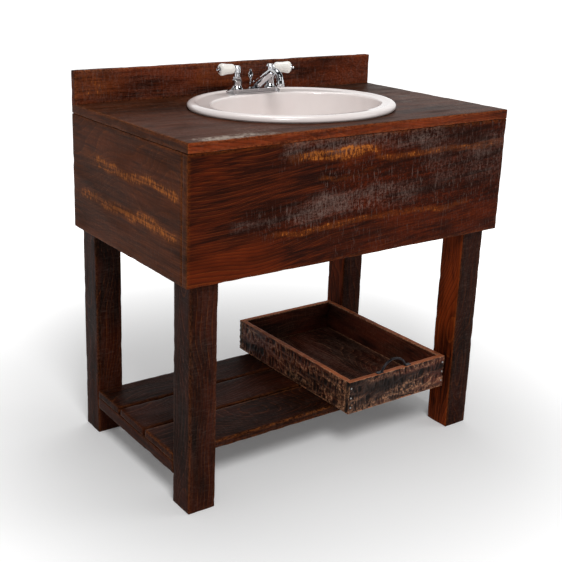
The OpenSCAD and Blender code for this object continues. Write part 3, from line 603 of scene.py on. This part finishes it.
class WASHSTAND_OT_cabinet(bpy.types.Operator):
    """Counter, backsplash, aprons, legs and shelf as worn boards"""
    bl_idname = "washstand.cabinet"
    bl_label = "Cabinet boards"

    def execute(self, context):
        low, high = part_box("front_apron")
        top, drop = high.z, high.z - low.z
        front = dict(warmth=0.9, rough=0.0, grey=0.0, figure=0.45, tilt=math.radians(4), edge=0.3,
                     amber_bands=below(top, drop, FRONT_AMBER), rough_bands=below(top, drop, FRONT_ROUGH),
                     grey_and_sheen_bands=below(top, drop, FRONT_GREY))
        side = dict(warmth=0.5, rough=0.3, grey=0.04, tone=SIDE_TONE, edge=0.3)
        dark_leg = dict(warmth=0.6, tone=DARK_TONE, grey=0.1, rough=0.15, edge=0.2)
        slat = dict(warmth=0.5, grey=0.08, rough=0.15, tone=DARK_TONE, edge=0.25)
        splash_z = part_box("backsplash")[0].z
        splash = dict(warmth=0.7, rough=0.5, grey=0.2, tone=BACK_TONE, edge=0.4,
                      amber_bands=[(splash_z + 0.045, 0.035, -0.47, -0.30, 0.55),
                                   (splash_z + 0.05, 0.03, -0.16, 0.06, 0.45)])
        end_wood = wood_material("End wood", "y", 8, **side)
        side["amber_bands"] = below(top, drop, SIDE_AMBER)
        boards = [
            ("front_apron", "x", 3, front, {}),
            ("left_apron", "y", 8, side, {}),
            ("right_apron", "y", 11, side, {}),
            ("backsplash", "x", 17, splash, dict(bed=2.5 * MM)),
            ("back_rail", "x", 19, dict(warmth=0.3, grey=0.2, tone=DARK_TONE), {}),
            ("front_left_leg", "z", 23, dark_leg, {}),
            ("front_right_leg", "z", 29, dict(dark_leg, warmth=0.3), {}),
            ("back_left_leg", "z", 31, dark_leg, {}),
            ("back_right_leg", "z", 37, dark_leg, {}),
            ("left_shelf_rail", "y", 41, slat, {}),
            ("right_shelf_rail", "y", 43, slat, {}),
            # The front slat's stronger edge mark is partly wear and partly a painted highlight along its top
            # edge.
            ("front_slat", "x", 47, dict(slat, edge=0.6), {}),
            ("middle_slat", "x", 53, slat, {}),
            ("back_slat", "x", 59, slat, {}),
        ]
        for node, grain, seed, looks, shape in boards:
            material = wood_material(node.replace("_", " ") + " wood", grain, seed, **looks)
            board = piece("worn_" + node, rough_board(node, grain, seed, **shape), material, node)
            if node == "front_apron":
                dress_faces(board, end_wood, lambda face: abs(face.normal.x) > FACING)
            # Painted light: the right legs' inner faces take the lighter, warmer wood, for light falling on
            # them from the left.
            if node.endswith("right_leg"):
                painted_light_inner = wood_material(node.replace("_", " ") + " inner wood", grain, seed + 1, warmth=1.0,
                                      rough=0.0, grey=0.0, edge=0.3, tone=PAINTED_LIGHT_INNER_TONE)
                dress_faces(board, painted_light_inner, lambda face: face.normal.x < -FACING)
        wood_material("Frame wood", "y", 61, warmth=0.2, tone=DARK_TONE)
        self.counter(end_wood)
        return {"FINISHED"}

    def counter(self, end_wood):
        """The counter board, with the sink's hole cut through it and a redder face along its front edge."""
        low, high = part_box("counter_top")
        top = wood_material("Counter wood", "x", 71, warmth=0.6, amber=0.10, rough=0.15, grey=0.06, side=1,
                            figure=1.6, tone=TOP_TONE,
                            # The first grey strip, far stronger than the others, is a painted sheen: a pale
                            # reflection along the front-left edge.
                            grey_and_sheen_bands=[(low.y + 0.014, 0.020, -0.50, -0.22, 2.4),
                                        (low.y + 0.06, 0.03, -0.36, -0.16, 0.35),
                                        (0.0, 0.3, 0.29, 0.6, 0.22)])
        front = wood_material("Counter edge wood", "x", 73, warmth=0.9, amber=0.12, rough=0.1, grey=0.1,
                              tone=EDGE_TONE)
        bead_low, bead_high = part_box("sealant_bead")
        hole_in = 11 * MM
        front_depth = 3 * MM
        cutter_below, cutter_height = 50 * MM, 150 * MM
        obj = piece("worn_counter_top", rough_board("counter_top", "x", 71, relief=0.4 * MM), top,
                    "counter_top")
        obj.data.materials.append(front)
        obj.data.materials.append(end_wood)
        for face in obj.data.polygons:
            if face.normal.y < -FACING and face.center.y < low.y + front_depth:
                face.material_index = 1
            elif abs(face.normal.x) > FACING:
                face.material_index = 2
        cutter_bm = bmesh.new()
        half = (bead_high - bead_low) / 2
        bmesh.ops.create_circle(cutter_bm, cap_ends=True, segments=96, radius=1.0,
                                matrix=oval(half.x - hole_in, half.y - hole_in, 0, low.z - cutter_below))
        made = bmesh.ops.extrude_face_region(cutter_bm, geom=cutter_bm.faces[:])
        bmesh.ops.translate(cutter_bm, vec=(0, 0, cutter_height),
                            verts=[part for part in made["geom"] if hasattr(part, "co")])
        bmesh.ops.recalc_face_normals(cutter_bm, faces=cutter_bm.faces[:])
        cutter_mesh = bpy.data.meshes.new("hole cutter")
        cutter_bm.to_mesh(cutter_mesh)
        cutter_bm.free()
        cutter = bpy.data.objects.new("hole_cutter", cutter_mesh)
        bpy.context.scene.collection.objects.link(cutter)
        cut = obj.modifiers.new("Sink hole", "BOOLEAN")
        cut.operation = "DIFFERENCE"
        cut.solver = "EXACT"
        cut.object = cutter
        bpy.context.view_layer.update()
        shaped = bpy.data.meshes.new_from_object(obj.evaluated_get(bpy.context.evaluated_depsgraph_get()))
        obj.modifiers.remove(cut)
        obj.data = shaped
        bpy.data.objects.remove(cutter)


class WASHSTAND_OT_sink(bpy.types.Operator):
    """Drop-in oval sink with a rolled rim, a flat deck and a round bowl"""
    bl_idname = "washstand.sink"
    bl_label = "Sink"

    def execute(self, context):
        china = context.scene.washstand_china
        low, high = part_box("sink_basin")
        drain_low, drain_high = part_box("drain_body")
        half = (high - low) / 2
        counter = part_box("counter_top")[1].z
        deck = counter + china.deck_height
        base = counter + china.seal
        crown = deck + china.rim_rise
        pipe_low, pipe_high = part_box("tailpiece")
        drain_y = pipe_low.y + (pipe_high.y - pipe_low.y) / 2
        hole = (drain_high.x - drain_low.x) / 2 + 1.5 * MM
        floor = deck - china.bowl_depth
        lip, wall = china.lip, china.wall
        length, width = china.bowl_length / 2, china.bowl_width / 2
        crown_in = 0.55 * china.rim_width

        def bowl(turn, grow, top, bottom):
            spread = max(0.0, math.cos(turn)) ** 0.62
            sink = math.sin(turn)
            return (hole + (length + grow - hole) * spread, hole + (width + grow - hole) * spread,
                    -china.bowl_shift + (drain_y + china.bowl_shift) * sink ** 2,
                    top - (top - bottom) * sink ** 1.05)

        def rim(inset, height):
            return (half.x - inset, half.y - inset, 0, height)

        quarter = math.pi / 2
        steps = 18
        shape = [bowl(quarter * (1 - i / steps), 0, deck - lip, floor) for i in range(steps + 1)]
        for i in range(4, -1, -1):
            turn = quarter * i / 5
            inset = lip * (1 - math.sin(turn))
            height = deck - lip * (1 - math.cos(turn))
            shape.append((length + inset, width + inset, -china.bowl_shift, height))
        for i in range(6, 0, -1):
            u = i / 6
            shape.append(rim(crown_in + (china.rim_width - crown_in) * u,
                             deck + china.rim_rise * (1 + math.cos(math.pi * u)) / 2))
        edge = base + 3 * MM
        for i in range(8, -1, -1):
            turn = quarter * i / 8
            shape.append(rim(crown_in * (1 - math.cos(turn)), edge + (crown - edge) * math.sin(turn) ** 0.8))
        shape.append(rim(0.6 * MM, base + 0.8 * MM))
        shape.append(rim(2 * MM, base))
        shape += [bowl(quarter * i / steps, wall, base, floor - wall) for i in range(steps + 1)]
        glaze = glaze_material("Sink glaze", china.glaze, linear(228, 218, 215))
        piece("china_sink", oval_shell(shape, china.segments), glaze, "sink_basin")
        return {"FINISHED"}


class WASHSTAND_OT_finishes(bpy.types.Operator):
    """Finishes of the pieces that show as they were built"""
    bl_idname = "washstand.finishes"
    bl_label = "Finishes"

    def execute(self, context):
        metal = context.scene.washstand_metal
        brass, steel, iron = tuple(metal.brass), tuple(metal.steel), tuple(metal.iron)
        finishes = {
            "chrome_plate": bpy.data.materials["Chrome plating"],
            "plain_brass": mottled_material("Machined brass", brass, (0.45, 0.30, 0.12), low=0.25, high=0.45,
                                            metallic=1.0, scale=120.0),
            "screw_steel": mottled_material("Bright steel", steel, (0.22, 0.21, 0.20), low=0.3, high=0.55,
                                            metallic=1.0, scale=160.0),
            "black_iron": mottled_material("Waxed iron", iron, (0.012, 0.013, 0.016), low=0.3, high=0.55,
                                           metallic=0.7, scale=170.0, bump=0.5),
            "black_rubber": mottled_material("Black rubber", (0.012, 0.012, 0.012), (0.03, 0.03, 0.03),
                                             low=0.6, high=0.85),
            "sealant": mottled_material("Clear sealant", (0.62, 0.58, 0.54), (0.50, 0.46, 0.42),
                                        low=0.25, high=0.4),
            "frame_wood": bpy.data.materials["Frame wood"],
        }
        for node, obj in frame["nodes"].items():
            if SLOT_OF[node] in finishes:
                dress(obj, finishes[SLOT_OF[node]])
        return {"FINISHED"}


class WASHSTAND_OT_faucet(bpy.types.Operator):
    """Chrome for the centerset faucet, and porcelain on its levers"""
    bl_idname = "washstand.faucet"
    bl_label = "Faucet"

    def execute(self, context):
        chrome_material()
        china = context.scene.washstand_china
        glaze = glaze_material("Lever porcelain", china.porcelain, linear(232, 228, 220))
        for node in ("hot_lever", "cold_lever"):
            dress(frame["nodes"][node], glaze)
        return {"FINISHED"}


class WASHSTAND_OT_tray(bpy.types.Operator):
    """Hewn wooden tray"""
    bl_idname = "washstand.tray"
    bl_label = "Tray"

    def execute(self, context):
        rim = wood_material("tray rim wood", "x", 107, warmth=0.8, rough=0.1, grey=0.1, tone=RIM_TONE,
                            edge=0.6, dark_patch_and_cut_shade=0.2)
        low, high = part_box("tray_bottom")
        centre = (low + high) / 2
        boards = [("tray_front", "x", 83), ("tray_back", "x", 89), ("tray_left", "y", 97),
                  ("tray_right", "y", 101)]
        for node, grain, seed in boards:
            # Strong edge and cut marks paint highlights on the ridges and shade in the cuts.
            material = wood_material(node.replace("_", " ") + " wood", grain, seed, warmth=0.8, amber=0.06,
                                     rough=0.3, grey=0.12, tone=TRAY_TONE, edge=1.0, dark_patch_and_cut_shade=0.95, gloss=0.15)
            bm = rough_board(node, grain, seed, cell=2.4 * MM, relief=0.4 * MM, hewn=3.2 * MM,
                             chip=1.2 * MM, band=5 * MM, centre=centre)
            board = piece("hewn_" + node, bm, material, node)
            dress_faces(board, rim, lambda face: face.normal.z > FACING)
        material = wood_material("tray bottom wood", "y", 103, warmth=0.3, tone=TRAY_TONE)
        piece("tray_floor", rough_board("tray_bottom", "y", 103), material, "tray_bottom")
        return {"FINISHED"}


class WASHSTAND_OT_stage(bpy.types.Operator):
    """Floor, light and camera"""
    bl_idname = "washstand.stage"
    bl_label = "Stage"

    def execute(self, context):
        scene = context.scene
        stage = scene.washstand_stage
        scene.view_settings.view_transform = "Standard"
        self.floor(stage)
        self.world(scene)
        self.lamp("Key", (-1.2, -2.3, 3.0), (0, 0, 0.4), 1.3, 64)
        self.lamp("Fill", (2.9, -2.0, 1.9), (0, 0, 0.5), 2.2, 18)
        self.lamp("Top", (0.2, 0.4, 3.2), (0, 0, 0.8), 1.6, 25)
        self.camera(scene, stage)
        return {"FINISHED"}

    def floor(self, stage):
        bm = bmesh.new()
        bmesh.ops.create_grid(bm, x_segments=1, y_segments=1, size=30.0)
        mesh = bpy.data.meshes.new("studio_floor")
        bm.to_mesh(mesh)
        bm.free()
        material, g, shader, place = new_material("Studio floor")
        shader.inputs["Base Color"].default_value = (*stage.floor, 1)
        shader.inputs["Roughness"].default_value = 0.9
        shader.inputs["Specular IOR Level"].default_value = 0.0
        path = g.add("LightPath").outputs
        seen = g.maths("MAXIMUM", path["Is Camera Ray"], path["Is Glossy Ray"])
        shader.inputs["Emission Color"].default_value = (1, 1, 1, 1)
        away = g.add("VectorMath", {0: place}, operation="LENGTH").outputs[1]
        glow = g.step(away, 0.5, 1.7, 0.10, 0.9)
        g.feed(shader.inputs["Emission Strength"], g.maths("MULTIPLY", seen, glow))
        link("studio_floor", mesh, material)

    def world(self, scene):
        world = bpy.data.worlds.new("Studio")
        scene.world = world
        world.use_nodes = True
        g = Graph(world.node_tree)
        path = g.add("LightPath").outputs
        sky = g.add("SeparateXYZ", {0: g.add("TexCoord").outputs["Generated"]}).outputs
        backdrop = g.maths("MULTIPLY", g.step(sky[1], -0.2, 0.7, 0.05, 1.0),
                           g.step(sky[2], 0.75, 0.35, 0.2, 1.0))
        seen = g.maths("MAXIMUM", path["Is Camera Ray"], path["Is Transmission Ray"])
        seen = g.maths("MAXIMUM", seen, g.maths("MULTIPLY", path["Is Glossy Ray"], backdrop))
        background = world.node_tree.nodes["Background"]
        background.inputs["Color"].default_value = (1, 1, 1, 1)
        ambient = g.maths("MULTIPLY", path["Is Diffuse Ray"], 0.30)
        g.feed(background.inputs["Strength"], g.maths("MAXIMUM", seen, ambient))

    def lamp(self, name, place, target, size, power):
        lamp = bpy.data.lights.new(name, "AREA")
        lamp.shape = "DISK"
        lamp.size = size
        lamp.energy = power
        obj = bpy.data.objects.new(name, lamp)
        bpy.context.scene.collection.objects.link(obj)
        obj.location = place
        obj.rotation_mode = "QUATERNION"
        obj.rotation_quaternion = (Vector(target) - Vector(place)).to_track_quat("-Z", "Y")

    def camera(self, scene, stage):
        camera = bpy.data.cameras.new("Camera")
        camera.lens = stage.lens
        camera.sensor_width = SENSOR_WIDTH
        camera.shift_x = stage.shift
        camera.shift_y = -stage.shift
        obj = bpy.data.objects.new("Camera", camera)
        scene.collection.objects.link(obj)
        back = Vector((math.sin(stage.azimuth) * math.cos(stage.elevation),
                       -math.cos(stage.azimuth) * math.cos(stage.elevation), math.sin(stage.elevation)))
        right = Vector((0, 0, 1)).cross(back).normalized()
        up = back.cross(right)
        turned_right = right * math.cos(stage.roll) + up * math.sin(stage.roll)
        turned_up = up * math.cos(stage.roll) - right * math.sin(stage.roll)
        place = Matrix((turned_right, turned_up, back)).transposed().to_4x4()
        place.translation = (stage.camera_x, stage.camera_y, stage.camera_z)
        obj.matrix_world = place
        camera.clip_end = 100
        scene.camera = obj


class WASHSTAND_PT_panel(bpy.types.Panel):
    """Sidebar panel of the washstand's pieces"""
    bl_label = "Washstand"
    bl_idname = "WASHSTAND_PT_panel"
    bl_space_type = "VIEW_3D"
    bl_region_type = "UI"
    bl_category = "Washstand"

    def draw(self, context):
        for step in STEPS:
            self.layout.operator(step.bl_idname)
        for name, group in SETTINGS.items():
            box = self.layout.box()
            for field in group.__annotations__:
                box.prop(getattr(context.scene, name), field)


STEPS = (WASHSTAND_OT_cabinet, WASHSTAND_OT_sink, WASHSTAND_OT_faucet, WASHSTAND_OT_tray,
         WASHSTAND_OT_finishes, WASHSTAND_OT_stage)


def register():
    for group in SETTINGS.values():
        bpy.utils.register_class(group)
    for name, group in SETTINGS.items():
        setattr(bpy.types.Scene, name, PointerProperty(type=group))
    for step in STEPS:
        bpy.utils.register_class(step)
    bpy.utils.register_class(WASHSTAND_PT_panel)


def unregister():
    bpy.utils.unregister_class(WASHSTAND_PT_panel)
    for step in reversed(STEPS):
        bpy.utils.unregister_class(step)
    for name, group in SETTINGS.items():
        delattr(bpy.types.Scene, name)
        bpy.utils.unregister_class(group)


def main():
    register()
    for step in STEPS:
        space, action = step.bl_idname.split(".")
        getattr(getattr(bpy.ops, space), action)()


if __name__ == "__main__":
    main()
